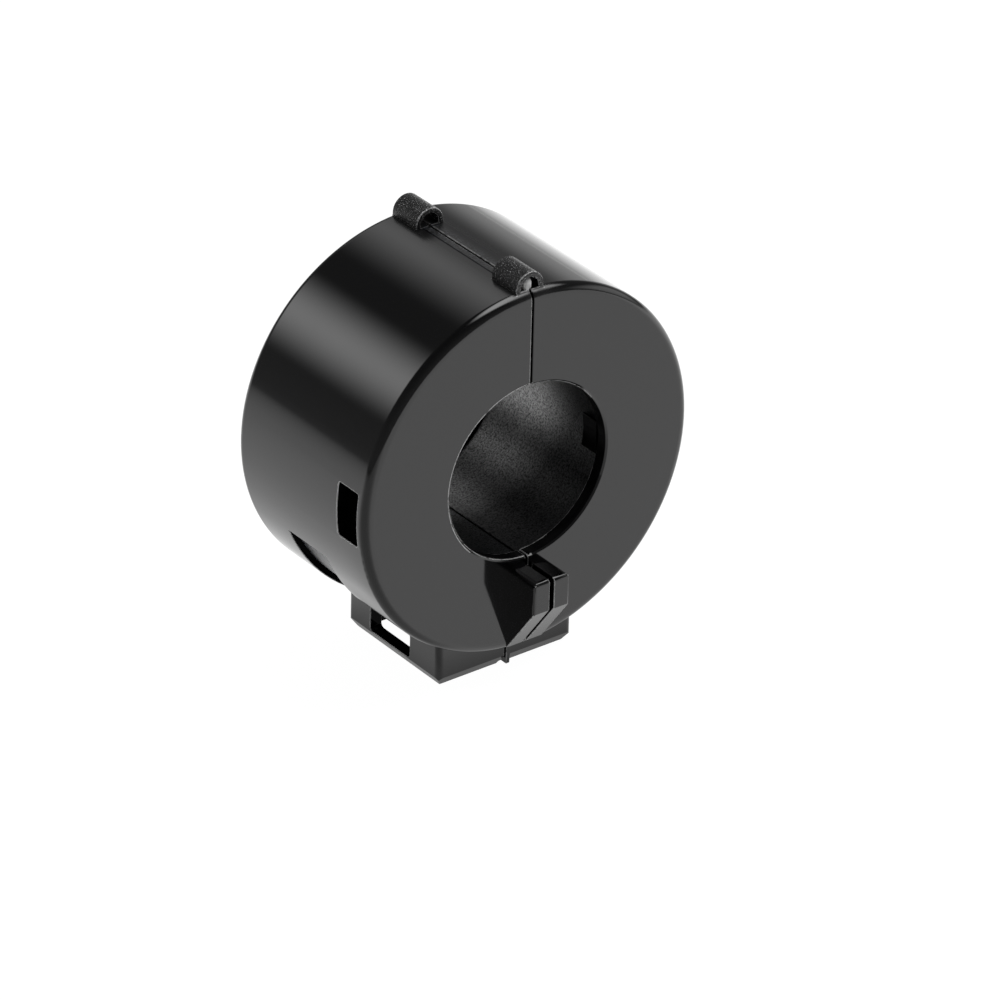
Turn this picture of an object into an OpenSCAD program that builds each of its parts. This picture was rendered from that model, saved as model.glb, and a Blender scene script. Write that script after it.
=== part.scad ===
// Clip-on ferrite bead: two hinged half cases, each with a ferrite half ring.
// Millimetres. Origin at the middle of the cable bore, bore along Y, front face
// towards -Y, foot down, hinge up. The seam lies in the plane x = 0.

/* [Body] */
// Outside diameter of the closed body
body_d = 52; // [46:1:60]
// Length of the body along the cable
body_len = 28; // [26:1:40]
// Diameter of the cable bore through the end flanges
bore_d = 25; // [18:0.5:28]
// Thickness of the round wall of the case
wall = 1.6; // [1.2:0.1:2.2]
// Thickness of the front end flange
front_flange = 1.9; // [1.4:0.1:2.6]
// Thickness of the rear end flange
rear_flange = 3.4; // [1.6:0.1:4.4]
// Radius of the rounded outer edges
edge_r = 1.3; // [0.6:0.1:1.4]
// Chamfer on the edges of the bore
bore_chamfer = 0.3; // [0.1:0.05:0.5]
// Gap between the two half cases at the seam
seam_gap = 0.3; // [0.1:0.05:0.4]

/* [Ferrite] */
// Step from the flange bore out to the inner wall of the ferrite
core_step = 0.6; // [0.4:0.1:1.5]
// Clearance round each ferrite half in its case
core_clear = 0.15; // [0.1:0.05:0.3]
// Gap between the two ferrite halves
core_gap = 0.3; // [0.05:0.05:0.4]
// Width of each retaining finger
finger_w = 4.8; // [3:0.2:8]
// Reach of each retaining finger past its flange
finger_len = 3.2; // [2:0.2:6]
// Distance of each finger's inner face behind the bore
finger_set = 0.1; // [0.05:0.05:0.2]

/* [Side openings] */
// Length of the side slot along the cable
slot_len = 4.2; // [2:0.1:6]
// Height of the side slot
slot_h = 7.7; // [4:0.1:10]
// Height of the middle of the side slot above the bore axis
slot_rise = 0.2; // [-1:0.1:1]
// Distance of the side slot from the front face
slot_inset = 1.8; // [1.5:0.1:4]
// Corner radius of the side slot
slot_corner = 0.4; // [0.2:0.1:0.9]
// Length of the side recess along the cable
recess_len = 8.4; // [4:0.1:9]
// Height of the side recess
recess_h = 12; // [6:0.5:12]
// Height of the top of the side recess below the bore axis
recess_below = 9.9; // [6:0.1:11]
// Distance of the side recess from the front face
recess_inset = 10.7; // [9:0.1:14]
// Depth of the side recess
recess_depth = 0.9; // [0.3:0.1:1]

/* [Hinge] */
// Length of each hinge loop along the cable
loop_len = 5.4; // [4:0.1:8]
// Outside width of each hinge loop
loop_w = 4.3; // [3.6:0.1:6]
// Thickness of the strap of each loop
loop_wall = 0.75; // [0.5:0.05:1]
// Height of the straight legs of each loop
loop_leg = 0.25; // [0.15:0.05:1]
// Distance of each loop from its end of the body
loop_inset = 0.65; // [0.4:0.05:1.2]
// Height of the flat hinge lands above the round wall
land_rise = 0.05; // [0.05:0.05:0.4]
// Diameter of the small stud in the mouth of the front loop
stud_d = 1.3; // [0.8:0.1:1.6]
// Distance of the stud to the left of the seam
stud_shift = 0.2; // [0:0.05:0.4]

/* [Cable saddle] */
// Reach of the cable saddle in front of the front face
saddle_out = 5.5; // [3:0.1:8]
// Width of each half of the cable saddle
saddle_w = 2.5; // [1.4:0.05:4]
// Gap between the two halves of the cable saddle
saddle_gap = 0.7; // [0.4:0.1:1.2]
// Drop from the bore down to the top of the cable saddle
saddle_drop = 0.9; // [0.4:0.1:2]
// Height of the upright front of the cable saddle
saddle_face = 4.5; // [2:0.1:7]
// Radius of the top front edge of the cable saddle
saddle_r = 0.6; // [0.2:0.1:0.8]
// Radius of the long top edges of the cable saddle
saddle_top_r = 0.8; // [0.2:0.1:1.2]
// Radius of the upright front edges of the cable saddle
saddle_edge = 0.4; // [0.1:0.05:0.6]

/* [Foot] */
// Width of the foot across both halves
foot_w = 21.8; // [18:0.2:26]
// Length of the foot along the cable
foot_len = 20; // [17:0.2:22]
// Height of the foot below the round body
foot_drop = 4.9; // [4.4:0.1:7]
// Thickness of the foot's walls
foot_wall = 1.9; // [1.6:0.1:2.2]
// Inset of the chamfer on the lower edges of the foot
foot_chamfer = 0.9; // [0.4:0.1:1.3]
// Height of the chamfer on the lower edges of the foot
foot_chamfer_h = 1.4; // [0.4:0.1:2]
// Radius of the upright edges of the foot
foot_corner = 0.9; // [0.2:0.1:1.3]
// Length of the window in each side of the foot
window_len = 8.7; // [5:0.1:10]
// Height of the window in each side of the foot
window_h = 3.7; // [2:0.1:3.9]
// Height of the sill under the window
window_sill = 1.55; // [1:0.05:2]
// Distance of the window behind the middle of the foot
window_shift = 0.7; // [0:0.1:2]
// Corner radius of the window
window_corner = 0.6; // [0.2:0.1:0.9]
// Radius of the pry groove beside the seam
groove_r = 0.5; // [0.2:0.05:0.8]
// Width of the square rib beside the seam of the right half
rib_w = 0.6; // [0.4:0.1:1.2]

/* [Catch] */
// Width of the catch tongue along the cable
tongue_w = 8; // [5:0.5:11]
// Thickness of the catch tongue
tongue_t = 1.1; // [0.8:0.1:1.4]
// Reach of the catch tongue past the seam
tongue_out = 3.4; // [2.6:0.1:4.5]
// Height of the nose on the catch tongue
nose_h = 0.4; // [0.2:0.1:0.6]
// Clearance round the tongue in its keeper
tongue_clear = 0.3; // [0.2:0.05:0.5]

/* [Hidden] */

$fn = 96;
eps = 0.01;
plastic = "#1f1f20";
ferrite = "#4b4d50";

body_r = body_d / 2;
bore_r = bore_d / 2;
front_y = -body_len / 2;
rear_y = body_len / 2;
seam_x = seam_gap / 2;
cavity_r = body_r - wall;
cavity_y0 = front_y + front_flange;
cavity_y1 = rear_y - rear_flange;
core_in_r = bore_r + core_step;

land_z = body_r + land_rise;
loop_r = loop_w / 2;
loop_z = land_z + loop_leg;
front_loop_y = front_y + loop_inset;
rear_loop_y = rear_y - loop_inset - loop_len;
stud_h = loop_leg + loop_r - loop_wall;

foot_z = -body_r - foot_drop;
foot_x = foot_w / 2;
pocket_x0 = seam_x + foot_wall;
pocket_x1 = foot_x - foot_wall;
tongue_z = (foot_z - body_r - tongue_t) / 2;

// Turns a shape drawn about Z so that it lies along Y.
module along_y() {
    rotate([-90, 0, 0]) children();
}

// Solid round bar along Y, longer than the body.
module bar(r) {
    along_y() cylinder(r = r, h = 2 * body_len, center = true);
}

// Rectangle with round corners, centred.
module round_rect(w, h, r) {
    square([w - 2 * r, h], center = true);
    square([w, h - 2 * r], center = true);
    for (sx = [-1, 1], sy = [-1, 1])
        translate([sx * (w / 2 - r), sy * (h / 2 - r)]) circle(r);
}

// A window through the side, drawn as length along Y and height along Z.
module side_cut(y, z, w, h, r, x0, x1) {
    translate([x0, y, z]) rotate([90, 0, 90]) linear_extrude(x1 - x0) round_rect(w, h, r);
}

// Half section of the shell: the round wall and both flanges.
module shell_section() {
    difference() {
        union() {
            translate([bore_r, front_y]) square([body_r - edge_r - bore_r, body_len]);
            translate([bore_r, front_y + edge_r]) square([body_r - bore_r, body_len - 2 * edge_r]);
            for (s = [-1, 1])
                translate([body_r - edge_r, s * (rear_y - edge_r)]) circle(edge_r);
        }
        translate([bore_r - eps, cavity_y0])
            square([cavity_r - bore_r + eps, cavity_y1 - cavity_y0]);
        for (s = [-1, 1])
            polygon([
                [bore_r - eps, s * (rear_y + eps)],
                [bore_r + bore_chamfer, s * (rear_y + eps)],
                [bore_r - eps, s * (rear_y - bore_chamfer)]
            ]);
    }
}

module half_shell() {
    intersection() {
        along_y() rotate_extrude() shell_section();
        translate([seam_x, -body_len, -body_d]) cube([body_d, 2 * body_len, 2 * body_d]);
    }
}

// Flat lands beside the seam that carry the feet of the hinge loops.
module hinge_lands() {
    for (y = [front_loop_y, rear_loop_y])
        translate([seam_x, y, cavity_r]) cube([loop_r - seam_x, loop_len, land_z - cavity_r]);
}

// Fingers that reach from the flanges over the ferrite's inner wall.
module fingers() {
    for (y = [cavity_y0 - eps, cavity_y1 + eps - finger_len])
        intersection() {
            difference() {
                bar(core_in_r - core_clear);
                bar(bore_r + finger_set);
            }
            translate([0, y, -finger_w / 2]) cube([body_r, finger_len, finger_w]);
        }
}

// Side view of the cable saddle, as Y and Z.
module saddle_section() {
    top = -bore_r - saddle_drop;
    tip = front_y - saddle_out;
    low = -body_r + edge_r / 2;
    root = front_y + front_flange / 2;
    difference() {
        polygon([[root, top], [tip, top], [tip, top - saddle_face], [front_y, low], [root, low]]);
        translate([tip, top - saddle_r]) difference() {
            translate([-eps, 0]) square([saddle_r + eps, saddle_r + eps]);
            translate([saddle_r, 0]) circle(saddle_r);
        }
    }
}

// One half of the cable saddle, its outer edges rounded in top view and in front view.
module half_saddle() {
    tall = body_r - bore_r - saddle_drop;
    across = saddle_gap + 2 * saddle_w;
    intersection() {
        translate([saddle_gap / 2, 0, 0]) rotate([90, 0, 90]) linear_extrude(saddle_w) saddle_section();
        translate([0, front_y, -body_r]) linear_extrude(body_r)
            round_rect(across, 2 * saddle_out, saddle_edge);
        translate([0, 0, -body_r]) rotate([90, 0, 0]) linear_extrude(body_len)
            round_rect(across, 2 * tall, saddle_top_r);
    }
}

// Upright rectangle on its lower edge, with both lower corners cut off.
module chamfer_rect(w, h) {
    half = w / 2;
    low = half - foot_chamfer;
    polygon([
        [-half, h], [-half, foot_chamfer_h], [-low, 0], [low, 0], [half, foot_chamfer_h], [half, h]
    ]);
}

// Outer block of one half of the foot, with chamfered lower and rounded upright edges.
module foot_block() {
    tall = foot_drop + body_r;
    intersection() {
        translate([0, foot_len / 2, foot_z]) rotate([90, 0, 0]) linear_extrude(foot_len)
            chamfer_rect(foot_w, tall);
        translate([seam_x, 0, foot_z]) rotate([90, 0, 90]) linear_extrude(foot_x)
            chamfer_rect(foot_len, tall);
        translate([0, 0, foot_z]) linear_extrude(tall) round_rect(foot_w, foot_len, foot_corner);
    }
}

module half_foot() {
    difference() {
        foot_block();
        bar(body_r - wall / 2);
        difference() {
            translate([pocket_x0, -foot_len / 2 + foot_wall, foot_z - eps])
                cube([pocket_x1 - pocket_x0, foot_len - 2 * foot_wall, body_r]);
            bar(body_r);
        }
        side_cut(
            window_shift, foot_z + window_sill + window_h / 2, window_len, window_h, window_corner,
            pocket_x1 - eps, foot_x + eps
        );
    }
}

module side_slot() {
    side_cut(
        front_y + slot_inset + slot_len / 2, slot_rise, slot_len, slot_h, slot_corner,
        cavity_r - wall / 2, body_d
    );
}

// Shallow rectangular recess low on the side, following the round wall.
module side_recess() {
    difference() {
        translate([0, front_y + recess_inset, -recess_below - recess_h])
            cube([body_d, recess_len, recess_h]);
        bar(body_r - recess_depth);
    }
}

// What both halves have in common, drawn on the +X side.
module plain_half() {
    difference() {
        union() {
            half_shell();
            hinge_lands();
            half_saddle();
            half_foot();
        }
        side_slot();
        side_recess();
    }
    fingers();
}

// Small domed stud that stands in the mouth of the front loop, rooted left of the seam.
module loop_stud() {
    r = stud_d / 2;
    gap = seam_gap / 2;
    top = stud_h - gap - r;
    translate([-stud_shift, front_loop_y + r, land_z]) difference() {
        union() {
            translate([0, 0, -land_rise]) cylinder(r = r, h = land_rise + top);
            translate([0, 0, top]) sphere(r);
        }
        translate([stud_shift - seam_x, -r - eps, -land_rise - eps])
            cube([stud_d, stud_d + 2 * eps, land_rise + gap + eps]);
    }
}

// Slot in the left half's seam wall for the catch tongue and its nose.
module keeper_cut() {
    w = tongue_w + 2 * tongue_clear;
    h = tongue_t + nose_h + 2 * tongue_clear;
    translate([-pocket_x0 - eps, -w / 2, tongue_z - tongue_clear]) cube([foot_wall + 2 * eps, w, h]);
}

// Tongue of the right half, with a wedge nose on its tip.
module catch_tongue() {
    nose_len = tongue_out - pocket_x0;
    translate([0, tongue_w / 2, tongue_z]) rotate([90, 0, 0]) linear_extrude(tongue_w)
        polygon([
            [seam_x + foot_wall / 2, 0],
            [seam_x + foot_wall / 2, tongue_t],
            [-tongue_out + nose_len - tongue_clear, tongue_t],
            [-tongue_out + nose_len - tongue_clear, tongue_t + nose_h],
            [-tongue_out, tongue_t / 2],
            [-tongue_out, 0]
        ]);
}

module left_half_case() {
    color(plastic) {
        difference() {
            mirror([1, 0, 0]) plain_half();
            keeper_cut();
            translate([-seam_x, 0, foot_z]) bar(groove_r);
        }
        loop_stud();
    }
}

// Square lower edge that the right half of the foot keeps beside the seam.
module seam_rib() {
    translate([seam_x, -foot_len / 2, foot_z]) cube([rib_w, foot_len, 2 * foot_chamfer_h]);
}

module right_half_case() {
    color(plastic) {
        plain_half();
        catch_tongue();
        seam_rib();
    }
}

// Ferrite half ring on the +X side.
module half_core() {
    y0 = cavity_y0 + core_clear;
    y1 = cavity_y1 - core_clear;
    intersection() {
        difference() {
            bar(cavity_r - core_clear);
            bar(core_in_r);
        }
        translate([core_gap / 2, y0, -body_d]) cube([body_d, y1 - y0, 2 * body_d]);
    }
}

module left_ferrite_core() {
    color(ferrite) mirror([1, 0, 0]) half_core();
}

module right_ferrite_core() {
    color(ferrite) half_core();
}

// End view of a hinge loop: a round arch on two straight legs.
module arch(r) {
    intersection() {
        circle(r);
        translate([-r, 0]) square([2 * r, r]);
    }
    translate([-r, -loop_leg]) square([2 * r, loop_leg]);
}

module hinge_loop(y) {
    color(plastic) translate([0, y + loop_len, loop_z]) rotate([90, 0, 0]) linear_extrude(loop_len)
        difference() {
            arch(loop_r);
            translate([0, -eps]) arch(loop_r - loop_wall);
            translate([-loop_r + loop_wall, -loop_leg - 2 * eps]) square([loop_w - 2 * loop_wall, loop_leg]);
        }
}

module front_hinge_loop() {
    hinge_loop(front_loop_y);
}

module rear_hinge_loop() {
    hinge_loop(rear_loop_y);
}

left_half_case();
right_half_case();
left_ferrite_core();
right_ferrite_core();
front_hinge_loop();
rear_hinge_loop();
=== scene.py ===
"""Clip-on ferrite bead: finishes, hinge loops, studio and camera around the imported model.

Sizes in this file are millimetres and degrees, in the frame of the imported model: the cable
bore along Y, the front face towards -Y, the hinge up. Blender gets metres and radians.
"""

import logging
import math
from dataclasses import dataclass
from enum import Enum
from typing import Any, Optional

import bmesh
import bpy
from mathutils import Matrix, Vector


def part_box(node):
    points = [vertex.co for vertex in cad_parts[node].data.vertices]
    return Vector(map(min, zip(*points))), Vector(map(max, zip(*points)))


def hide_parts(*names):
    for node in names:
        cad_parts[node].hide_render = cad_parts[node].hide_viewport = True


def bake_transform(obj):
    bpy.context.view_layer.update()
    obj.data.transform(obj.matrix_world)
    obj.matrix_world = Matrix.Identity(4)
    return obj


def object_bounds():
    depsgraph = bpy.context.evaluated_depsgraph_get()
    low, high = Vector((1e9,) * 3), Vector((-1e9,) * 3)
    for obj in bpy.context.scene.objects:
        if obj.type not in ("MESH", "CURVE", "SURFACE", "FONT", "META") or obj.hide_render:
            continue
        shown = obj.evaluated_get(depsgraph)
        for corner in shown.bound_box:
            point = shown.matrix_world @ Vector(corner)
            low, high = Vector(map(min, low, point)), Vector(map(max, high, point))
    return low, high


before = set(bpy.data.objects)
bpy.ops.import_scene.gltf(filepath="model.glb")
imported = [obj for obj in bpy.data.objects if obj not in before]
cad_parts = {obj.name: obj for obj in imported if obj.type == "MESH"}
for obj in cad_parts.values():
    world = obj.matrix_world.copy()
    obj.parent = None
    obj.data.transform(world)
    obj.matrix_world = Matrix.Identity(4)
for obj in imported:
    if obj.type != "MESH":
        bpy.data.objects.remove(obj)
cad_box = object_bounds()

log = logging.getLogger("ferrite_bead")

MM = 0.001
# Blender's specular level at which the IOR alone sets the reflections.
PLAIN_LEVEL = 0.5

Triple = tuple[float, float, float]
Socket = bpy.types.NodeSocket
Tree = bpy.types.NodeTree


class Half(Enum):
    """The two hinged halves, by the name of their body."""

    LEFT = "left_half"
    RIGHT = "right_half"


class End(Enum):
    """The two ends of the bead, by the first word of their pieces."""

    FRONT = "front"
    REAR = "rear"


def linear(colour: str) -> tuple[float, float, float, float]:
    """Turns an sRGB hex colour into the linear colour that a shader takes.

    Args:
        colour: Six hex digits after a hash sign.

    Returns:
        Linear red, green, blue and an alpha of 1.
    """
    parts = [int(colour[i:i + 2], 16) / 255 for i in (1, 3, 5)]
    red, green, blue = (p / 12.92 if p <= 0.04045 else ((p + 0.055) / 1.055) ** 2.4 for p in parts)
    return red, green, blue, 1.0


def add_node(tree: Tree, kind: str, inputs: Optional[dict] = None, **settings: Any) -> bpy.types.Node:
    """Adds one node with its settings and links.

    Args:
        tree: Node tree that takes the node.
        kind: Blender's name for the type of node.
        inputs: A value, or a socket to link from, for each input by name or number.
        **settings: Fields of the node itself.

    Returns:
        The new node.
    """
    node = tree.nodes.new(kind)
    for name, value in settings.items():
        setattr(node, name, value)
    for key, value in (inputs or {}).items():
        if isinstance(value, Socket):
            tree.links.new(value, node.inputs[key])
        else:
            node.inputs[key].default_value = value
    return node


def metres(*lengths: float) -> Vector:
    """Turns three lengths in millimetres into a vector in metres."""
    return Vector(lengths) * MM


def per_metre(spacing: float) -> float:
    """Gives the texture scale for a pattern whose features lie this many millimetres apart."""
    return 1 / (spacing * MM)


def direction(azimuth: float, elevation: float) -> Vector:
    """Gives the unit vector at an azimuth from +Y towards +X and an elevation, in degrees."""
    a, e = math.radians(azimuth), math.radians(elevation)
    return Vector((math.sin(a) * math.cos(e), math.cos(a) * math.cos(e), math.sin(e)))


def from_axis(tree: Tree, place: Socket) -> Socket:
    """Gives the distance of each place from the bore's axis, in metres."""
    inputs = {0: place, 1: (1.0, 0.0, 1.0)}
    across = add_node(tree, "ShaderNodeVectorMath", inputs, operation="MULTIPLY")
    radius = add_node(tree, "ShaderNodeVectorMath", {0: across.outputs[0]}, operation="LENGTH")
    return radius.outputs["Value"]


@dataclass(frozen=True)
class Finish:
    """What every finish has: a name, a colour, and how it takes light."""

    name: str
    colour: str
    ior: float
    roughness: float

    def start(self) -> tuple[bpy.types.Material, Tree, Socket]:
        """Starts an empty node material.

        Returns:
            The material, its node tree, and the piece's own coordinates in metres.
        """
        material = bpy.data.materials.new(self.name)
        material.use_nodes = True
        material.diffuse_color = linear(self.colour)
        tree = material.node_tree
        tree.nodes.clear()
        return material, tree, add_node(tree, "ShaderNodeTexCoord").outputs["Object"]

    def close(self, tree: Tree, inputs: dict) -> None:
        """Ends a node tree in a shader with this finish's values.

        Args:
            tree: Node tree of the material.
            inputs: Values or sockets that differ from the finish's own, by input name.
        """
        values = {"Base Color": linear(self.colour), "IOR": self.ior, "Roughness": self.roughness}
        shader = add_node(tree, "ShaderNodeBsdfPrincipled", values | inputs)
        add_node(tree, "ShaderNodeOutputMaterial", {"Surface": shader.outputs[0]})


@dataclass(frozen=True)
class Region:
    """An upright box in the frame of the bead, between two radii from the bore's axis."""

    centre: Triple
    half_size: Triple
    inner: float = 0.0
    outer: float = 100.0
    soft: float = 0.002

    def mask(self, tree: Tree, place: Socket) -> Socket:
        """Finds what lies in the region.

        Args:
            tree: Node tree of the material.
            place: Socket with the piece's own coordinates.

        Returns:
            Socket that is 1 in the region, falls off over the soft share of its half size, and is
            0 elsewhere.
        """
        inputs = {0: place, 1: metres(*self.centre)}
        offset = add_node(tree, "ShaderNodeVectorMath", inputs, operation="SUBTRACT")
        reach = add_node(tree, "ShaderNodeVectorMath", {0: offset.outputs[0]}, operation="ABSOLUTE")
        inputs = {0: reach.outputs[0], 1: metres(*self.half_size)}
        share = add_node(tree, "ShaderNodeVectorMath", inputs, operation="DIVIDE")
        x, y, z = add_node(tree, "ShaderNodeSeparateXYZ", {0: share.outputs[0]}).outputs
        level = add_node(tree, "ShaderNodeMath", {0: x, 1: y}, operation="MAXIMUM")
        widest = add_node(tree, "ShaderNodeMath", {0: level.outputs[0], 1: z}, operation="MAXIMUM")
        inputs = {
            "Value": widest.outputs[0],
            "From Min": 1.0 - self.soft,
            "From Max": 1.0,
            "To Min": 1.0,
            "To Max": 0.0,
        }
        boxed = add_node(tree, "ShaderNodeMapRange", inputs)
        inputs = {
            0: from_axis(tree, place),
            1: (self.outer + self.inner) / 2 * MM,
            2: (self.outer - self.inner) / 2 * MM,
        }
        ring = add_node(tree, "ShaderNodeMath", inputs, operation="COMPARE")
        inputs = {0: boxed.outputs[0], 1: ring.outputs[0]}
        return add_node(tree, "ShaderNodeMath", inputs, operation="MULTIPLY").outputs[0]


def any_of(tree: Tree, place: Socket, regions: tuple[Region, ...]) -> Socket:
    """Finds what lies in any of some regions.

    Args:
        tree: Node tree of the material.
        place: Socket with the piece's own coordinates.
        regions: The regions.

    Returns:
        Socket with the highest of their masks.
    """
    first, *others = (region.mask(tree, place) for region in regions)
    for mask in others:
        first = add_node(tree, "ShaderNodeMath", {0: first, 1: mask}, operation="MAXIMUM").outputs[0]
    return first


@dataclass(frozen=True)
class PolishedNylon(Finish):
    """Black nylon from a polished mould, with some faces of the mould spark-eroded."""

    edge_highlight_share: float = 0.0
    peel: float = 1.6
    peel_depth: float = 0.0012
    patch: float = 9.0
    patch_low: float = 0.7
    patch_high: float = 1.3
    grit: float = 0.3
    grit_depth: float = 0.1
    grit_roughness: float = 0.3
    # The crest colours below are paler than the plastic, partly grit texture and partly painted glints.
    crest: str = "#2e3034"
    recess_crest: str = "#70747b"
    crest_from: float = 0.5
    crest_full: float = 0.58
    # The next colour is a painted highlight on the stud in the front loop.
    stud_highlight: str = "#e4e4e4"
    # The pale colours below are painted highlights on edges and rims, with their own IOR and roughness.
    painted_highlight: str = "#a8a8a8"
    highlight_ior: float = 2.4
    highlight_roughness: float = 0.4
    highlight_breaks: float = 0.8
    highlight_from: float = 0.3
    highlight_full: float = 0.5
    slot_highlight: str = "#f2f2f2"
    # The next value sets how far painted shade lowers the specular level.
    painted_shade_level: float = 0.05
    hazed: Region = Region((0, 0, 25.6), (5, 30, 0.9), soft=0.6)
    hazed_roughness: float = 0.3
    hinge_lands: tuple[Region, ...] = (
        Region((-0.6, 0, 26), (0.5, 14, 0.2)),
        Region((0, 0, 26), (1.7, 50, 0.2), soft=0.7),
    )
    side_recess: Region = Region((0, 0.9, -15.9), (27, 4.19, 6.05), outer=25.3)
    # These regions get painted shade, a lower specular level.
    painted_shade_regions: tuple[Region, ...] = (
        Region((-1.2, 0, 26), (0.12, 8, 0.2)),
        Region((0, 5.15, -15.9), (27, 0.25, 6.05), inner=25, outer=25.9),
        Region((0, -10.5, 0), (14, 1.7, 2.5), inner=12.4, outer=13.2),
        Region((0, -13, 0), (14, 0.95, 14), inner=12.4, outer=12.56),
        Region((-5.5, 0, -28), (3.55, 8.15, 3)),
        Region((5.5, 0, -28), (3.55, 8.15, 3)),
        Region((0, 5.1, -27.4), (10.75, 0.15, 2.2)),
    )
    loop_stud: Region = Region((-0.2, -12.7, 27.2), (0.7, 0.7, 1.1))
    # These regions get painted highlight lines: the rims of the bore, a lip inside it and the seam on
    # the front face.
    painted_highlight_lines: tuple[Region, ...] = (
        Region((-7, -14, 0), (7.2, 0.4, 14), inner=12.5, outer=12.6),
        Region((5, -14, 10), (5, 0.4, 4), inner=12.5, outer=12.6),
        Region((-7, -14, 2), (6.9, 0.1, 11), inner=12.77, outer=12.92),
        Region((2.2, -12.15, -12.2), (2.3, 0.15, 0.7), inner=12.45, outer=12.7),
        Region((-0.22, -14, 19.3), (0.07, 0.2, 6.2)),
    )
    # These regions get no painted edge highlight.
    highlight_free: tuple[Region, ...] = (
        Region((0, -10.1, 0.2), (27, 2.4, 4.2), outer=25.7),
        Region((0, -16.4, -13.4), (3, 2.6, 0.5)),
        Region((0, -14, 19.5), (0.5, 0.5, 6.6)),
        Region((0, 7.95, 26), (2.4, 0.3, 0.3)),
    )
    slot_rim: Region = Region((0, -10.1, 0.2), (27, 2.4, 4.2), inner=25.7)

    def relief(self, tree: Tree, place: Socket, grit: Socket, dull: Socket) -> Socket:
        """Shapes the surface in small.

        Args:
            tree: Node tree of the material.
            place: Socket with the piece's own coordinates.
            grit: Socket with the height of the grit.
            dull: Socket that is 1 on the eroded faces.

        Returns:
            Socket with the normal.
        """
        # The slight orange peel of a polished mould bends reflections without blurring them.
        inputs = {"Vector": place, "Scale": per_metre(self.peel), "Detail": 1.0}
        peel = add_node(tree, "ShaderNodeTexNoise", inputs)
        inputs = {"Height": peel.outputs[0], "Distance": self.peel_depth * MM}
        smooth = add_node(tree, "ShaderNodeBump", inputs)
        inputs = {
            "Height": grit,
            "Distance": self.grit_depth * MM,
            "Strength": dull,
            "Normal": smooth.outputs[0],
        }
        return add_node(tree, "ShaderNodeBump", inputs).outputs[0]

    def tone(self, tree: Tree, place: Socket, crest: Socket, recess: Socket) -> Socket:
        """Colours the plastic, with the grit's crests paler, partly as painted glints, and a painted
        highlight on the stud.

        Args:
            tree: Node tree of the material.
            place: Socket with the piece's own coordinates.
            crest: Socket that is 1 on the crests of the grit.
            recess: Socket that is 1 in the side recess.

        Returns:
            Socket with the colour.
        """
        # The grit's crests are painted paler, most of all in the side recess, partly as painted glints.
        inputs = {0: recess, 6: linear(self.crest), 7: linear(self.recess_crest)}
        pale = add_node(tree, "ShaderNodeMix", inputs, data_type="RGBA")
        inputs = {0: crest, 6: linear(self.colour), 7: pale.outputs[2]}
        speckled = add_node(tree, "ShaderNodeMix", inputs, data_type="RGBA")
        # The stud in the front loop is painted near white, as a painted highlight.
        stud_highlight = self.loop_stud.mask(tree, place)
        inputs = {0: stud_highlight, 6: speckled.outputs[2], 7: linear(self.stud_highlight)}
        return add_node(tree, "ShaderNodeMix", inputs, data_type="RGBA").outputs[2]

    def gloss(self, tree: Tree, place: Socket, dull: Socket) -> Socket:
        """Finds how smooth the plastic left the mould and was handled.

        Args:
            tree: Node tree of the material.
            place: Socket with the piece's own coordinates.
            dull: Socket that is 1 on the eroded faces.

        Returns:
            Socket with the roughness.
        """
        # Handling leaves faint duller patches on the gloss.
        inputs = {"Vector": place, "Scale": per_metre(self.patch), "Detail": 3.0}
        patches = add_node(tree, "ShaderNodeTexNoise", inputs)
        inputs = {
            "Value": patches.outputs[0],
            "To Min": self.patch_low * self.roughness,
            "To Max": self.patch_high * self.roughness,
        }
        polished = add_node(tree, "ShaderNodeMapRange", inputs)
        # The mould is less polished beside the hinge, so the wall hardly mirrors the loops.
        inputs = {0: self.hazed.mask(tree, place), 2: polished.outputs[0], 3: self.hazed_roughness}
        hazed = add_node(tree, "ShaderNodeMix", inputs)
        inputs = {0: dull, 2: hazed.outputs[0], 3: self.grit_roughness}
        return add_node(tree, "ShaderNodeMix", inputs).outputs[0]

    def edge_highlights(self, tree: Tree, place: Socket, slot_rim: Socket) -> Socket:
        """Finds where edges and rims are painted pale, as painted highlights.

        Args:
            tree: Node tree of the material.
            place: Socket with the piece's own coordinates.
            slot_rim: Socket that is 1 on the rim of the side slot.

        Returns:
            Socket with the share that is painted pale as highlight.
        """
        # Outer edges get broken lines of painted highlight, the rims of the bore and the slot most of
        # all.
        inputs = {"Vector": place, "Scale": per_metre(self.highlight_breaks), "Detail": 3.0}
        highlight_breaks = add_node(tree, "ShaderNodeTexNoise", inputs)
        inputs = {
            "Value": highlight_breaks.outputs[0],
            "From Min": self.highlight_from,
            "From Max": self.highlight_full,
        }
        patchy = add_node(tree, "ShaderNodeMapRange", inputs)
        inputs = {0: patchy.outputs[0], 1: slot_rim}
        highlight_spread = add_node(tree, "ShaderNodeMath", inputs, operation="MAXIMUM")
        inputs = {0: any_of(tree, place, self.highlight_free), 2: self.edge_highlight_share, 3: 0.0}
        edge = add_node(tree, "ShaderNodeMix", inputs)
        inputs = {0: any_of(tree, place, self.painted_highlight_lines), 1: edge.outputs[0]}
        highlit = add_node(tree, "ShaderNodeMath", inputs, operation="MAXIMUM")
        inputs = {0: highlight_spread.outputs[0], 1: highlit.outputs[0]}
        return add_node(tree, "ShaderNodeMath", inputs, operation="MULTIPLY").outputs[0]

    def make(self) -> bpy.types.Material:
        """Builds the material.

        Returns:
            The material, a dark mirror that is dull and gritty on the eroded places, with painted
            highlights on edges and rims and painted shade in hollows.
        """
        material, tree, place = self.start()
        recess = self.side_recess.mask(tree, place)
        inputs = {0: any_of(tree, place, self.hinge_lands), 1: recess}
        dull = add_node(tree, "ShaderNodeMath", inputs, operation="MAXIMUM").outputs[0]
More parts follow.
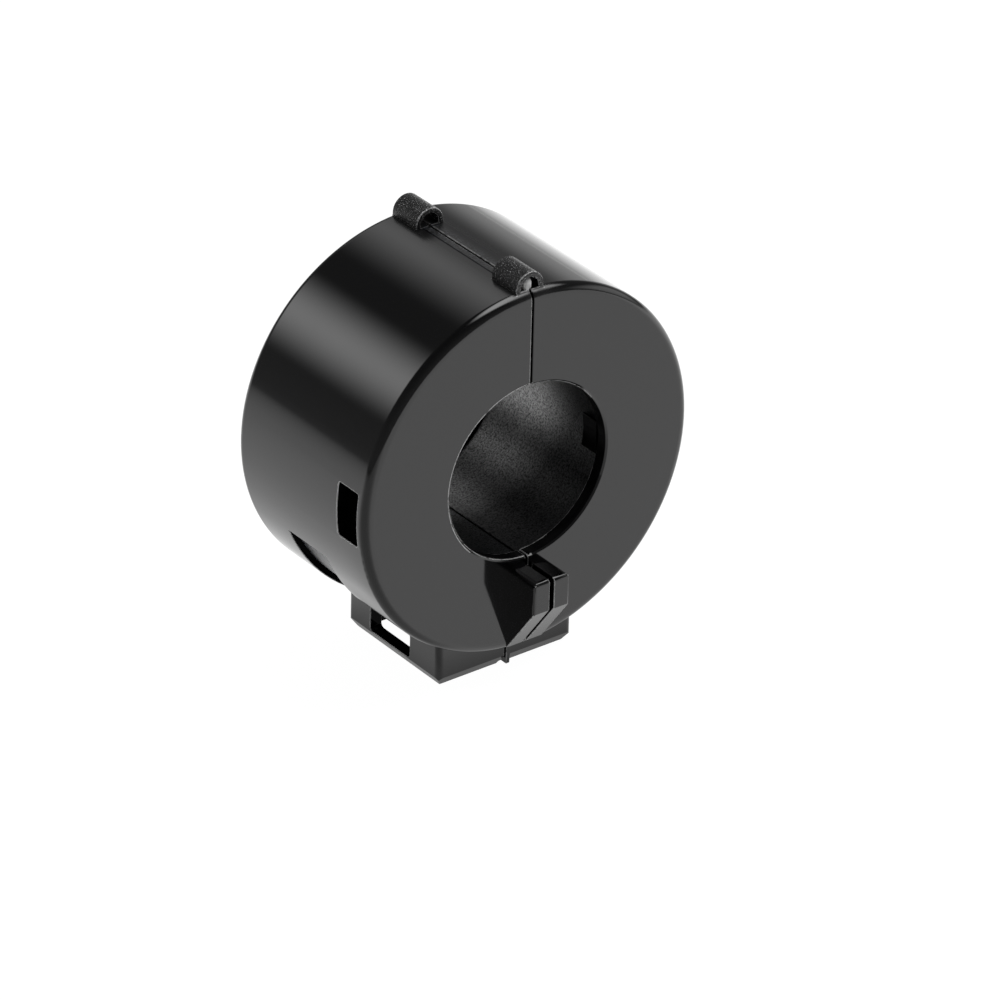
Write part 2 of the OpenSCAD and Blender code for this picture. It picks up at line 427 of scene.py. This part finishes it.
        # Spark erosion leaves pits near 0.05 mm, drawn coarser here so that they show.
        inputs = {"Vector": place, "Scale": per_metre(self.grit), "Detail": 4.0, "Roughness": 0.65}
        grit = add_node(tree, "ShaderNodeTexNoise", inputs).outputs[0]
        inputs = {"Value": grit, "From Min": self.crest_from, "From Max": self.crest_full}
        high = add_node(tree, "ShaderNodeMapRange", inputs)
        inputs = {0: high.outputs[0], 1: dull}
        crest = add_node(tree, "ShaderNodeMath", inputs, operation="MULTIPLY").outputs[0]
        slot_rim = self.slot_rim.mask(tree, place)
        share = self.edge_highlights(tree, place, slot_rim)
        # Highlights are painted pale, brightest on the slot's rim.
        inputs = {0: slot_rim, 6: linear(self.painted_highlight), 7: linear(self.slot_highlight)}
        bright = add_node(tree, "ShaderNodeMix", inputs, data_type="RGBA")
        inputs = {0: share, 6: self.tone(tree, place, crest, recess), 7: bright.outputs[2]}
        colour = add_node(tree, "ShaderNodeMix", inputs, data_type="RGBA")
        ior = add_node(tree, "ShaderNodeMix", {0: share, 2: self.ior, 3: self.highlight_ior})
        inputs = {0: share, 2: self.gloss(tree, place, dull), 3: self.highlight_roughness}
        haze = add_node(tree, "ShaderNodeMix", inputs)
        # Inner walls, the fingers, the recess's end, the hollow of the foot, the window's end and the
        # land's border get a lower specular level, as painted shade.
        inputs = {0: any_of(tree, place, self.painted_shade_regions), 2: PLAIN_LEVEL, 3: self.painted_shade_level}
        level = add_node(tree, "ShaderNodeMix", inputs)
        self.close(tree, {
            "Base Color": colour.outputs[2],
            "IOR": ior.outputs[0],
            "Roughness": haze.outputs[0],
            "Specular IOR Level": level.outputs[0],
            "Normal": self.relief(tree, place, grit, dull),
        })
        return material


@dataclass(frozen=True)
class SparkErodedNylon(Finish):
    """Black nylon from a spark-eroded mould."""

    grit: float = 0.2
    grit_depth: float = 0.09
    pit_shade_level: float = 0.3
    pit_roughness: float = 1.2
    crest_roughness: float = 0.7
    # The pale colour below is painted glints on the grit's crests.
    painted_highlight: str = "#c4c4c5"
    highlight_from: float = 0.57
    highlight_full: float = 0.67
    front_rims: tuple[Region, ...] = (
        Region((0, -13.19, 27), (4, 0.1, 3)),
        Region((0, 8.11, 27), (4, 0.1, 3)),
    )
    rim_lift: float = 0.14

    def make(self) -> bpy.types.Material:
        """Builds the material.

        Returns:
            The material, dull and gritty, with bright pinpricks painted as glints.
        """
        material, tree, place = self.start()
        # Spark erosion leaves pits near 0.05 mm, drawn coarser here so that they show.
        inputs = {"Vector": place, "Scale": per_metre(self.grit), "Detail": 5.0, "Roughness": 0.7}
        grit = add_node(tree, "ShaderNodeTexNoise", inputs).outputs[0]
        gritty = add_node(tree, "ShaderNodeBump", {"Height": grit, "Distance": self.grit_depth * MM})
        # The crests of the grit are painted pale and made smoother, as painted glints, most of all on
        # the rims, where they make a painted highlight line.
        inputs = {0: any_of(tree, place, self.front_rims), 1: self.rim_lift, 2: grit}
        lifted = add_node(tree, "ShaderNodeMath", inputs, operation="MULTIPLY_ADD")
        inputs = {
            "Value": lifted.outputs[0],
            "From Min": self.highlight_from,
            "From Max": self.highlight_full,
        }
        crest = add_node(tree, "ShaderNodeMapRange", inputs).outputs[0]
        inputs = {0: crest, 6: linear(self.colour), 7: linear(self.painted_highlight)}
        colour = add_node(tree, "ShaderNodeMix", inputs, data_type="RGBA")
        inputs = {
            0: crest,
            2: self.pit_roughness * self.roughness,
            3: self.crest_roughness * self.roughness,
        }
        gloss = add_node(tree, "ShaderNodeMix", inputs)
        # The pits between them get a lower specular level, as painted shade.
        level = add_node(tree, "ShaderNodeMix", {0: crest, 2: self.pit_shade_level, 3: PLAIN_LEVEL})
        self.close(tree, {
            "Base Color": colour.outputs[2],
            "Roughness": gloss.outputs[0],
            "Specular IOR Level": level.outputs[0],
            "Normal": gritty.outputs[0],
        })
        return material


@dataclass(frozen=True)
class SinteredFerrite(Finish):
    """Sintered ferrite, ground in the bore and on the joints."""

    dark: str = "#08090a"
    # The next colour is painted shade on the outer wall.
    outer_shade: str = "#040404"
    outer_shade_from: float = 23.5
    outer_shade_full: float = 24.1
    grain: float = 0.25
    grain_depth: float = 0.04
    glint_from: float = 0.38
    glint_full: float = 0.62
    glint_low: float = 0.1
    cloud: float = 4.0
    cloud_share: float = 0.3
    tone_from: float = 0.5
    tone_full: float = 0.8
    # The values below paint shade in the bore by lowering the specular level.
    bore_shade_way: Triple = (0, 0.94, 0.33)
    bore_shaded_at: float = -6.0
    bore_unshaded_at: float = 0.5
    bore_shade_level: float = 0.16
    shade_band_height: float = -8.2
    shade_band_half: float = 2.0
    shade_band_clear: float = 6.5
    shade_band_level: float = 0.4

    def tone(self, tree: Tree, place: Socket, grain: Socket, outer: Socket) -> Socket:
        """Colours the ferrite, with the outer wall painted near black as painted shade.

        Args:
            tree: Node tree of the material.
            place: Socket with the piece's own coordinates.
            grain: Socket with the pattern of the grains.
            outer: Socket that is 1 on the outer wall.

        Returns:
            Socket with the colour.
        """
        # Pressed powder grains show as fine light and dark specks in soft clouds.
        inputs = {"Vector": place, "Scale": per_metre(self.cloud), "Detail": 2.0}
        clouds = add_node(tree, "ShaderNodeTexNoise", inputs)
        inputs = {0: clouds.outputs[0], 1: self.cloud_share, 2: grain}
        both = add_node(tree, "ShaderNodeMath", inputs, operation="MULTIPLY_ADD")
        inputs = {"Value": both.outputs[0], "From Min": self.tone_from, "From Max": self.tone_full}
        light = add_node(tree, "ShaderNodeMapRange", inputs)
        inputs = {0: light.outputs[0], 6: linear(self.dark), 7: linear(self.colour)}
        ground = add_node(tree, "ShaderNodeMix", inputs, data_type="RGBA")
        inputs = {0: outer, 6: ground.outputs[2], 7: linear(self.outer_shade)}
        return add_node(tree, "ShaderNodeMix", inputs, data_type="RGBA").outputs[2]

    def sheen(self, tree: Tree, place: Socket, grain: Socket) -> Socket:
        """Finds how much the ground faces shine, with painted shade on the lower front of the bore and
        in a band along each side.

        Args:
            tree: Node tree of the material.
            place: Socket with the piece's own coordinates.
            grain: Socket with the pattern of the grains.

        Returns:
            Socket with the specular level.
        """
        inputs = {
            "Value": grain,
            "From Min": self.glint_from,
            "From Max": self.glint_full,
            "To Min": self.glint_low,
        }
        glint = add_node(tree, "ShaderNodeMapRange", inputs)
        # The lower front of the bore gets a lower specular level, as painted shade.
        inputs = {0: place, 1: Vector(self.bore_shade_way)}
        along = add_node(tree, "ShaderNodeVectorMath", inputs, operation="DOT_PRODUCT")
        inputs = {
            "Value": along.outputs["Value"],
            "From Min": self.bore_shaded_at * MM,
            "From Max": self.bore_unshaded_at * MM,
            "To Min": self.bore_shade_level,
        }
        unshaded = add_node(tree, "ShaderNodeMapRange", inputs)
        # A second band of painted shade, a lower specular level at one height, runs along each side.
        height = add_node(tree, "ShaderNodeSeparateXYZ", {0: place}).outputs["Z"]
        inputs = {0: height, 1: self.shade_band_height * MM}
        above = add_node(tree, "ShaderNodeMath", inputs, operation="SUBTRACT")
        gap = add_node(tree, "ShaderNodeMath", {0: above.outputs[0]}, operation="ABSOLUTE")
        inputs = {
            "Value": gap.outputs[0],
            "From Min": self.shade_band_half * MM,
            "From Max": self.shade_band_clear * MM,
            "To Min": self.shade_band_level,
        }
        shade_band = add_node(tree, "ShaderNodeMapRange", inputs)
        inputs = {0: unshaded.outputs[0], 1: shade_band.outputs[0]}
        unshaded_share = add_node(tree, "ShaderNodeMath", inputs, operation="MULTIPLY")
        inputs = {0: glint.outputs[0], 1: unshaded_share.outputs[0]}
        return add_node(tree, "ShaderNodeMath", inputs, operation="MULTIPLY").outputs[0]

    def make(self) -> bpy.types.Material:
        """Builds the material.

        Returns:
            The material, a cold dark grey with fine grains and a low sheen, with painted shade in the
            lower bore and a near black outside without sheen, also painted shade.
        """
        material, tree, place = self.start()
        inputs = {"Vector": place, "Scale": per_metre(self.grain), "Detail": 4.0, "Roughness": 0.7}
        grain = add_node(tree, "ShaderNodeTexNoise", inputs).outputs[0]
        # The bore and the joints are ground; the outer wall is painted near black without sheen, as
        # painted shade.
        inputs = {
            "Value": from_axis(tree, place),
            "From Min": self.outer_shade_from * MM,
            "From Max": self.outer_shade_full * MM,
        }
        outer = add_node(tree, "ShaderNodeMapRange", inputs).outputs[0]
        inputs = {0: outer, 2: self.sheen(tree, place, grain), 3: 0.0}
        level = add_node(tree, "ShaderNodeMix", inputs)
        bump = add_node(tree, "ShaderNodeBump", {"Height": grain, "Distance": self.grain_depth * MM})
        self.close(tree, {
            "Base Color": self.tone(tree, place, grain, outer),
            "Specular IOR Level": level.outputs[0],
            "Normal": bump.outputs[0],
        })
        return material


@dataclass(frozen=True)
class WhitePaper(Finish):
    """Uncoated white studio paper, lit until it is plain white."""

    white_share: float = 0.88
    white_level: float = 1.12
    # The values below paint light and shade on the paper, seen only in reflections.
    dim_way: Triple = (-0.707, 0.707, 0)
    dim_from: float = 100.0
    dim_full: float = 600.0
    dim: float = 0.2
    lit_way: Triple = (0.77, 0.64, 0)
    lit_from: float = 20.0
    lit_full: float = 150.0
    lit_end: float = 1000.0
    lit: float = 1.3
    unlit: float = 0.42
    shade_way: Triple = (-0.906, -0.42, 0)
    shade_from: float = 0.6
    shade_full: float = 1.0
    shade: float = 0.42
    shade_near: float = 14.0
    shade_far: float = 22.0
    foot_half: Triple = (10.9, 10, 0)
    clear: float = 8.0
    contact: float = 0.45

    def sides(self, tree: Tree, place: Socket) -> Socket:
        """Paints light on the paper behind the right of the bead and dims it at the back left, seen
        only in reflections.

        Args:
            tree: Node tree of the material.
            place: Socket with the paper's own coordinates.

        Returns:
            Socket with the brightness.
        """
        inputs = {0: place, 1: Vector(self.dim_way)}
        away = add_node(tree, "ShaderNodeVectorMath", inputs, operation="DOT_PRODUCT")
        inputs = {
            "Value": away.outputs["Value"],
            "From Min": self.dim_from * MM,
            "From Max": self.dim_full * MM,
            "To Min": 1.0,
            "To Max": self.dim,
        }
        far = add_node(tree, "ShaderNodeMapRange", inputs)
        # Painted light: the paper is brightest behind the right of the bead and falls off slowly from
        # there.
        inputs = {0: place, 1: Vector(self.lit_way)}
        aside = add_node(tree, "ShaderNodeVectorMath", inputs, operation="DOT_PRODUCT")
        inputs = {
            "Value": aside.outputs["Value"],
            "From Min": self.lit_from * MM,
            "From Max": self.lit_full * MM,
            "To Min": 1.0,
            "To Max": self.lit,
        }
        rise = add_node(tree, "ShaderNodeMapRange", inputs)
        inputs = {
            "Value": aside.outputs["Value"],
            "From Min": self.lit_full * MM,
            "From Max": self.lit_end * MM,
            "To Min": 1.0,
            "To Max": self.unlit,
        }
        fall = add_node(tree, "ShaderNodeMapRange", inputs)
        inputs = {0: rise.outputs[0], 1: fall.outputs[0]}
        right = add_node(tree, "ShaderNodeMath", inputs, operation="MULTIPLY")
        inputs = {0: far.outputs[0], 1: right.outputs[0]}
        return add_node(tree, "ShaderNodeMath", inputs, operation="MULTIPLY").outputs[0]

    def front_shade(self, tree: Tree, level: Socket) -> Socket:
        """Paints shade on the paper towards the left front, seen only in reflections.

        Args:
            tree: Node tree of the material.
            level: Socket with the place on the paper, without its height.

        Returns:
            Socket with the brightness.
        """
        # This painted shade darkens edges that mirror that side.
        radius = add_node(tree, "ShaderNodeVectorMath", {0: level}, operation="LENGTH")
        way = add_node(tree, "ShaderNodeVectorMath", {0: level}, operation="NORMALIZE")
        inputs = {0: way.outputs[0], 1: Vector(self.shade_way)}
        facing = add_node(tree, "ShaderNodeVectorMath", inputs, operation="DOT_PRODUCT")
        inputs = {
            "Value": facing.outputs["Value"],
            "From Min": self.shade_from,
            "From Max": self.shade_full,
        }
        wedge = add_node(tree, "ShaderNodeMapRange", inputs, interpolation_type="SMOOTHSTEP")
        inputs = {
            "Value": radius.outputs["Value"],
            "From Min": self.shade_near * MM,
            "From Max": self.shade_far * MM,
        }
        out = add_node(tree, "ShaderNodeMapRange", inputs, interpolation_type="SMOOTHSTEP")
        inputs = {0: wedge.outputs[0], 1: out.outputs[0]}
        dark = add_node(tree, "ShaderNodeMath", inputs, operation="MULTIPLY")
        return add_node(tree, "ShaderNodeMix", {0: dark.outputs[0], 2: 1.0, 3: self.shade}).outputs[0]

    def foot_shade(self, tree: Tree, level: Socket) -> Socket:
        """Paints a shadow on the paper next to the foot, seen only in reflections.

        Args:
            tree: Node tree of the material.
            level: Socket with the place on the paper, without its height.

        Returns:
            Socket with the brightness.
        """
        reach = add_node(tree, "ShaderNodeVectorMath", {0: level}, operation="ABSOLUTE")
        inputs = {0: reach.outputs[0], 1: metres(*self.foot_half)}
        past = add_node(tree, "ShaderNodeVectorMath", inputs, operation="SUBTRACT")
        inputs = {0: past.outputs[0], 1: (0.0, 0.0, 0.0)}
        outside = add_node(tree, "ShaderNodeVectorMath", inputs, operation="MAXIMUM")
        gap = add_node(tree, "ShaderNodeVectorMath", {0: outside.outputs[0]}, operation="LENGTH")
        inputs = {
            "Value": gap.outputs["Value"],
            "From Min": 0.0,
            "From Max": self.clear * MM,
            "To Min": self.contact,
            "To Max": 1.0,
        }
        return add_node(tree, "ShaderNodeMapRange", inputs).outputs[0]

    def make(self) -> bpy.types.Material:
        """Builds the material.

        Returns:
            The material, plain white with a pale shadow, and with painted light and shade in
            reflections, dimmer far back.
        """
        material, tree, place = self.start()
        path = add_node(tree, "ShaderNodeLightPath").outputs
        inputs = {0: path["Is Camera Ray"], 1: path["Is Transmission Ray"]}
        seen = add_node(tree, "ShaderNodeMath", inputs, operation="MAXIMUM")
        inputs = {0: seen.outputs[0], 1: self.white_share}
        share = add_node(tree, "ShaderNodeMath", inputs, operation="MULTIPLY")
        inputs = {0: share.outputs[0], 1: path["Is Glossy Ray"]}
        white = add_node(tree, "ShaderNodeMath", inputs, operation="MAXIMUM")
        inputs = {0: place, 1: (1.0, 1.0, 0.0)}
        level = add_node(tree, "ShaderNodeVectorMath", inputs, operation="MULTIPLY").outputs[0]
        inputs = {0: self.sides(tree, place), 1: self.front_shade(tree, level)}
        around = add_node(tree, "ShaderNodeMath", inputs, operation="MULTIPLY")
        inputs = {0: around.outputs[0], 1: self.foot_shade(tree, level)}
        mirrored = add_node(tree, "ShaderNodeMath", inputs, operation="MULTIPLY")
        inputs = {0: path["Is Glossy Ray"], 2: self.white_level, 3: mirrored.outputs[0]}
        strength = add_node(tree, "ShaderNodeMix", inputs)
        glow = add_node(tree, "ShaderNodeEmission", {"Strength": strength.outputs[0]})
        flat = add_node(tree, "ShaderNodeBsdfDiffuse", {"Color": linear(self.colour)})
        inputs = {0: white.outputs[0], 1: flat.outputs[0], 2: glow.outputs[0]}
        paper = add_node(tree, "ShaderNodeMixShader", inputs)
        add_node(tree, "ShaderNodeOutputMaterial", {"Surface": paper.outputs[0]})
        return material


CASE_NYLON = PolishedNylon("nylon_moulded_polished", "#070708", ior=1.64, roughness=0.09)
# The rounded edges get painted highlights.
EDGE_NYLON = PolishedNylon("nylon_moulded_edge_highlight", "#070708", ior=1.64, roughness=0.2, edge_highlight_share=0.7)
HINGE_NYLON = SparkErodedNylon("nylon_moulded_spark_eroded", "#050506", ior=1.7, roughness=0.2)
FERRITE = SinteredFerrite("ferrite_sintered_ground", "#202123", ior=2.2, roughness=0.3)
PAPER = WhitePaper("paper_white_uncoated", "#f7f7f7", ior=1.5, roughness=1.0)


def wear(obj: bpy.types.Object, *materials: bpy.types.Material) -> None:
    """Gives a piece its materials, the first all over and any other for new faces."""
    obj.data.materials.clear()
    for material in materials:
        obj.data.materials.append(material)


@dataclass
class RoundedNode:
    """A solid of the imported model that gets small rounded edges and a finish."""

    node: str
    edge: float = 0.12
    square_angle: float = 62.0
    crease_angle: float = 25.0
    flat_angle: float = 0.6
    segments: int = 3
    weld_gap: float = 0.0001

    def mark_edges(self) -> Tree:
        """Makes the nodes that mark square outer edges for the bevel and other corners as sharp.

        Returns:
            The node group for a modifier.
        """
        tree = bpy.data.node_groups.new(f"{self.node}_edges", "GeometryNodeTree")
        for way in ("INPUT", "OUTPUT"):
            tree.interface.new_socket("Geometry", in_out=way, socket_type="NodeSocketGeometry")
        mesh = add_node(tree, "NodeGroupInput").outputs[0]
        angle = add_node(tree, "GeometryNodeInputMeshEdgeAngle").outputs
        inputs = {0: angle["Signed Angle"], 1: math.radians(self.square_angle)}
        square = add_node(tree, "ShaderNodeMath", inputs, operation="GREATER_THAN").outputs[0]
        inputs = {"Geometry": mesh, "Name": "bevel_weight_edge", "Value": square}
        rounded = add_node(tree, "GeometryNodeStoreNamedAttribute", inputs, domain="EDGE")
        inputs = {0: angle["Unsigned Angle"], 1: math.radians(self.crease_angle)}
        corner = add_node(tree, "ShaderNodeMath", inputs, operation="GREATER_THAN").outputs[0]
        crease = add_node(tree, "ShaderNodeMath", {0: corner, 1: square}, operation="GREATER_THAN")
        creased = add_node(
            tree, "GeometryNodeStoreNamedAttribute", domain="EDGE", data_type="BOOLEAN",
            inputs={"Geometry": rounded.outputs[0], "Name": "sharp_edge", "Value": crease.outputs[0]},
        )
        add_node(tree, "NodeGroupOutput", {0: creased.outputs[0]})
        return tree

    def dress(
        self, material: bpy.types.Material, edge_material: Optional[bpy.types.Material] = None
    ) -> bpy.types.Object:
        """Rounds the edges with modifiers and puts the finish on.

        Args:
            material: Finish of the piece.
            edge_material: Finish of its rounded edges, where that differs.

        Returns:
            The node's object.
        """
        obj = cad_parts[self.node]
        weld = obj.modifiers.new("weld", "WELD")
        weld.merge_threshold = self.weld_gap * MM
        flats = obj.modifiers.new("flats", "DECIMATE")
        flats.decimate_type = "DISSOLVE"
        flats.angle_limit = math.radians(self.flat_angle)
        marks = obj.modifiers.new("marks", "NODES")
        marks.node_group = self.mark_edges()
        edges = obj.modifiers.new("edges", "BEVEL")
        edges.limit_method = "WEIGHT"
        edges.width = self.edge * MM
        edges.segments = self.segments
        edges.use_clamp_overlap = False
        edges.material = 1 if edge_material else -1
        normals = obj.modifiers.new("normals", "WEIGHTED_NORMAL")
        normals.keep_sharp = True
        wear(obj, *filter(None, (material, edge_material)))
        log.info("%s dressed in %s", self.node, material.name)
        return obj


@dataclass
class HingeLoop:
    """A moulded strap that arches over the seam; on the real bead it bends when the bead opens."""

    end: End
    wall: float = 0.75
    rim: float = 0.22
    root: float = 0.1
    bend_half_width: float = 1.3
    arc_steps: int = 48
    leg_steps: int = 4
    rim_steps: int = 5

    @property
    def node(self) -> str:
        """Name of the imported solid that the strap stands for."""
        return f"{self.end.value}_hinge_loop"

    def centre_line(self, low: Vector, high: Vector) -> list[tuple[Vector, Vector]]:
        """Lays the line through the middle of the strap, from the left root to the right.

        Args:
            low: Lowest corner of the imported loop, in metres.
            high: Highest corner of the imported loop, in metres.

        Returns:
            Points on the line, each with the direction out of the strap.
        """
        outer = (high.x - low.x) / 2
        radius = outer - self.wall * MM / 2
        spring = high.z - outer
        foot = low.z - self.root * MM
        line = []
        for i in range(self.leg_steps):
            z = foot + (spring - foot) * i / self.leg_steps
            line.append((Vector((-radius, 0, z)), Vector((-1, 0, 0))))
        for i in range(self.arc_steps + 1):
            a = math.pi * (1 - i / self.arc_steps)
            out = Vector((math.cos(a), 0, math.sin(a)))
            line.append((out * radius + Vector((0, 0, spring)), out))
        legs = line[:self.leg_steps]
        line += [(Vector((-p.x, 0, p.z)), -out) for p, out in reversed(legs)]
        return line

    def section(self, length: float) -> list[tuple[float, float]]:
        """Draws the strap's section with rounded rims.

        Args:
            length: Length of the strap along the bore, in metres.

        Returns:
            Pairs of a distance along the bore and a height out of the strap, in metres.
        """
        rim = self.rim * MM
        half_l, half_w = length / 2 - rim, self.wall * MM / 2 - rim
        points = []
        for k, (sy, sw) in enumerate(((1, 1), (-1, 1), (-1, -1), (1, -1))):
            for i in range(self.rim_steps + 1):
                a = math.pi / 2 * (k + i / self.rim_steps)
                points.append((sy * half_l + rim * math.cos(a), sw * half_w + rim * math.sin(a)))
        return points

    def build(self) -> bpy.types.Object:
        """Sweeps the section along the line.

        Returns:
            The strap as a new mesh object.
        """
        low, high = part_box(self.node)
        low, high = Vector(low), Vector(high)
        middle = Vector((0, (low.y + high.y) / 2, 0))
        section = self.section(high.y - low.y)
        bm = bmesh.new()
        rings = []
        for point, out in self.centre_line(low, high):
            ring = [bm.verts.new(middle + point + Vector((0, y, 0)) + out * w) for y, w in section]
            rings.append(ring)
        count = len(section)
        for first, second in zip(rings, rings[1:]):
            for i in range(count):
                j = (i + 1) % count
                bm.faces.new((first[i], first[j], second[j], second[i]))
        bm.faces.new(rings[0])
        bm.faces.new(rings[-1])
        bmesh.ops.recalc_face_normals(bm, faces=bm.faces)
        for face in bm.faces:
            face.smooth = True
        mesh = bpy.data.meshes.new(f"{self.end.value}_loop_strap")
        bm.to_mesh(mesh)
        bm.free()
        strap = bpy.data.objects.new(mesh.name, mesh)
        bpy.context.scene.collection.objects.link(strap)
        return strap

    def fit(self, material: bpy.types.Material) -> bpy.types.Object:
        """Builds the strap, finishes it and hides the imported loop that it stands for.

        Args:
            material: Finish of the strap.

        Returns:
            The strap.
        """
        strap = self.build()
        wear(strap, material)
        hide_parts(self.node)
        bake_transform(strap)
        strap.modifiers.new("normals", "WEIGHTED_NORMAL")
        log.info("%s replaces %s", strap.name, self.node)
        return strap


@dataclass(frozen=True)
class SoftBox:
    """A soft lamp that faces the bead, bright in the middle and dim at its edges."""

    name: str
    azimuth: float
    elevation: float
    width: float
    height: float
    radiance: float
    distance: float = 1000.0
    edge: float = 1.0

    def light(self) -> bpy.types.Object:
        """Hangs the lamp.

        Returns:
            The lamp's object.
        """
        lamp = bpy.data.lights.new(self.name, "AREA")
        lamp.shape = "RECTANGLE"
        lamp.size, lamp.size_y = self.width * MM, self.height * MM
        lamp.energy = math.pi * lamp.size * lamp.size_y * self.radiance
        lamp.use_nodes = True
        tree = lamp.node_tree
        tree.nodes.clear()
        place = add_node(tree, "ShaderNodeNewGeometry").outputs["Parametric"]
        # Parametric coordinates run from 0 to 1 across the lamp.
        middle = 0.5
        inputs = {0: place, 1: (middle, middle, 0.0)}
        offset = add_node(tree, "ShaderNodeVectorMath", inputs, operation="DISTANCE")
        inputs = {
            "Value": offset.outputs["Value"],
            "From Min": middle * (1 - self.edge),
            "From Max": middle,
            "To Min": 1.0,
            "To Max": 0.0,
        }
        fade = add_node(tree, "ShaderNodeMapRange", inputs, interpolation_type="SMOOTHSTEP")
        glow = add_node(tree, "ShaderNodeEmission", {"Strength": fade.outputs[0]})
        add_node(tree, "ShaderNodeOutputLight", {"Surface": glow.outputs[0]})
        obj = bpy.data.objects.new(self.name, lamp)
        out = direction(self.azimuth, self.elevation)
        obj.location = out * self.distance * MM
        obj.rotation_euler = out.to_track_quat("Z", "Y").to_euler()
        obj.visible_camera = False
        bpy.context.scene.collection.objects.link(obj)
        log.info("%s hung", self.name)
        return obj


@dataclass
class Studio:
    """White paper floor, soft even light all round, and a few soft lamps for the gloss."""

    floor_half: float = 1500.0
    even_light: float = 0.15
    wall_glow: float = 0.22
    wall_top: float = 1.0
    room_glow: float = 0.05
    lamps: tuple[SoftBox, ...] = (
        SoftBox("back_left_box", -35.2, 29.5, 680, 680, 2.0),
        SoftBox("back_right_box", 24, 39, 800, 800, 0.78),
        SoftBox("right_card", 52, 4, 1000, 760, 0.54),
        SoftBox("right_front_card", 106, 14, 1200, 600, 0.8, edge=0.7),
        SoftBox("key_box", 100, 66, 1100, 1100, 3.8, edge=0.5),
    )

    def floor(self) -> bpy.types.Object:
        """Lays the paper floor under the foot.

        Returns:
            The floor's object.
        """
        half = self.floor_half * MM
        z = cad_box[0].z
        corners = [(-half, -half, z), (half, -half, z), (half, half, z), (-half, half, z)]
        mesh = bpy.data.meshes.new("paper_floor")
        mesh.from_pydata(corners, [], [(0, 1, 2, 3)])
        obj = bpy.data.objects.new("paper_floor", mesh)
        bpy.context.scene.collection.objects.link(obj)
        wear(obj, PAPER.make())
        return obj

    def surroundings(self) -> None:
        """Makes the world: even light, a white background, and a dim room for reflections."""
        world = bpy.data.worlds.new("studio")
        world.use_nodes = True
        tree = world.node_tree
        tree.nodes.clear()
        path = add_node(tree, "ShaderNodeLightPath").outputs
        place = add_node(tree, "ShaderNodeTexCoord").outputs["Generated"]
        height = add_node(tree, "ShaderNodeSeparateXYZ", {0: place}).outputs["Z"]
        # The room behind the lamps is dim, and a little lighter towards the floor.
        inputs = {
            "Value": height,
            "From Min": 0.0,
            "From Max": self.wall_top,
            "To Min": self.wall_glow,
            "To Max": self.room_glow,
        }
        room = add_node(tree, "ShaderNodeMapRange", inputs)
        inputs = {0: path["Is Glossy Ray"], 2: self.even_light, 3: room.outputs[0]}
        mirrored = add_node(tree, "ShaderNodeMix", inputs)
        inputs = {0: path["Is Camera Ray"], 1: path["Is Transmission Ray"]}
        seen = add_node(tree, "ShaderNodeMath", inputs, operation="MAXIMUM")
        inputs = {0: seen.outputs[0], 2: mirrored.outputs[0], 3: 1.0}
        strength = add_node(tree, "ShaderNodeMix", inputs)
        glow = add_node(tree, "ShaderNodeBackground", {"Strength": strength.outputs[0]})
        add_node(tree, "ShaderNodeOutputWorld", {"Surface": glow.outputs[0]})
        bpy.context.scene.world = world

    def set_up(self) -> None:
        """Builds the floor, the world and the lamps."""
        self.floor()
        self.surroundings()
        for lamp in self.lamps:
            lamp.light()
        bpy.context.scene.view_settings.view_transform = "Standard"


@dataclass
class Viewpoint:
    """The camera, at the photograph's viewing angle."""

    azimuth: float = 37.61
    elevation: float = 29.82
    roll: float = 1.37
    aim: Triple = (-4.01, -13.28, -3.28)
    distance: float = 851.8
    lens: float = 239.6
    sensor: float = 36.0
    near: float = 10.0
    far: float = 20000.0

    def place(self) -> bpy.types.Object:
        """Sets the camera up and makes it the scene's own.

        Returns:
            The camera's object.
        """
        data = bpy.data.cameras.new("camera")
        data.lens, data.sensor_width = self.lens, self.sensor
        data.clip_start, data.clip_end = self.near * MM, self.far * MM
        ahead = direction(self.azimuth, -self.elevation)
        turn = ahead.to_track_quat("-Z", "Y").to_matrix()
        turn = turn @ Matrix.Rotation(math.radians(self.roll), 3, "Z")
        camera = bpy.data.objects.new("camera", data)
        spot = metres(*self.aim) - ahead * self.distance * MM
        camera.matrix_world = Matrix.Translation(spot) @ turn.to_4x4()
        bpy.context.scene.collection.objects.link(camera)
        bpy.context.scene.camera = camera
        return camera


def main() -> None:
    """Dresses the bead and sets up the camera and the studio."""
    logging.basicConfig(level=logging.INFO, format="%(name)s: %(message)s")
    Viewpoint().place()
    Studio().set_up()
    case, edge = CASE_NYLON.make(), EDGE_NYLON.make()
    ferrite, hinge = FERRITE.make(), HINGE_NYLON.make()
    for side in ("left", "right"):
        RoundedNode(f"{side}_half_case").dress(case, edge)
        RoundedNode(f"{side}_ferrite_core", edge=0.15).dress(ferrite)
    for end in End:
        HingeLoop(end).fit(hinge)


if __name__ == "__main__":
    main()
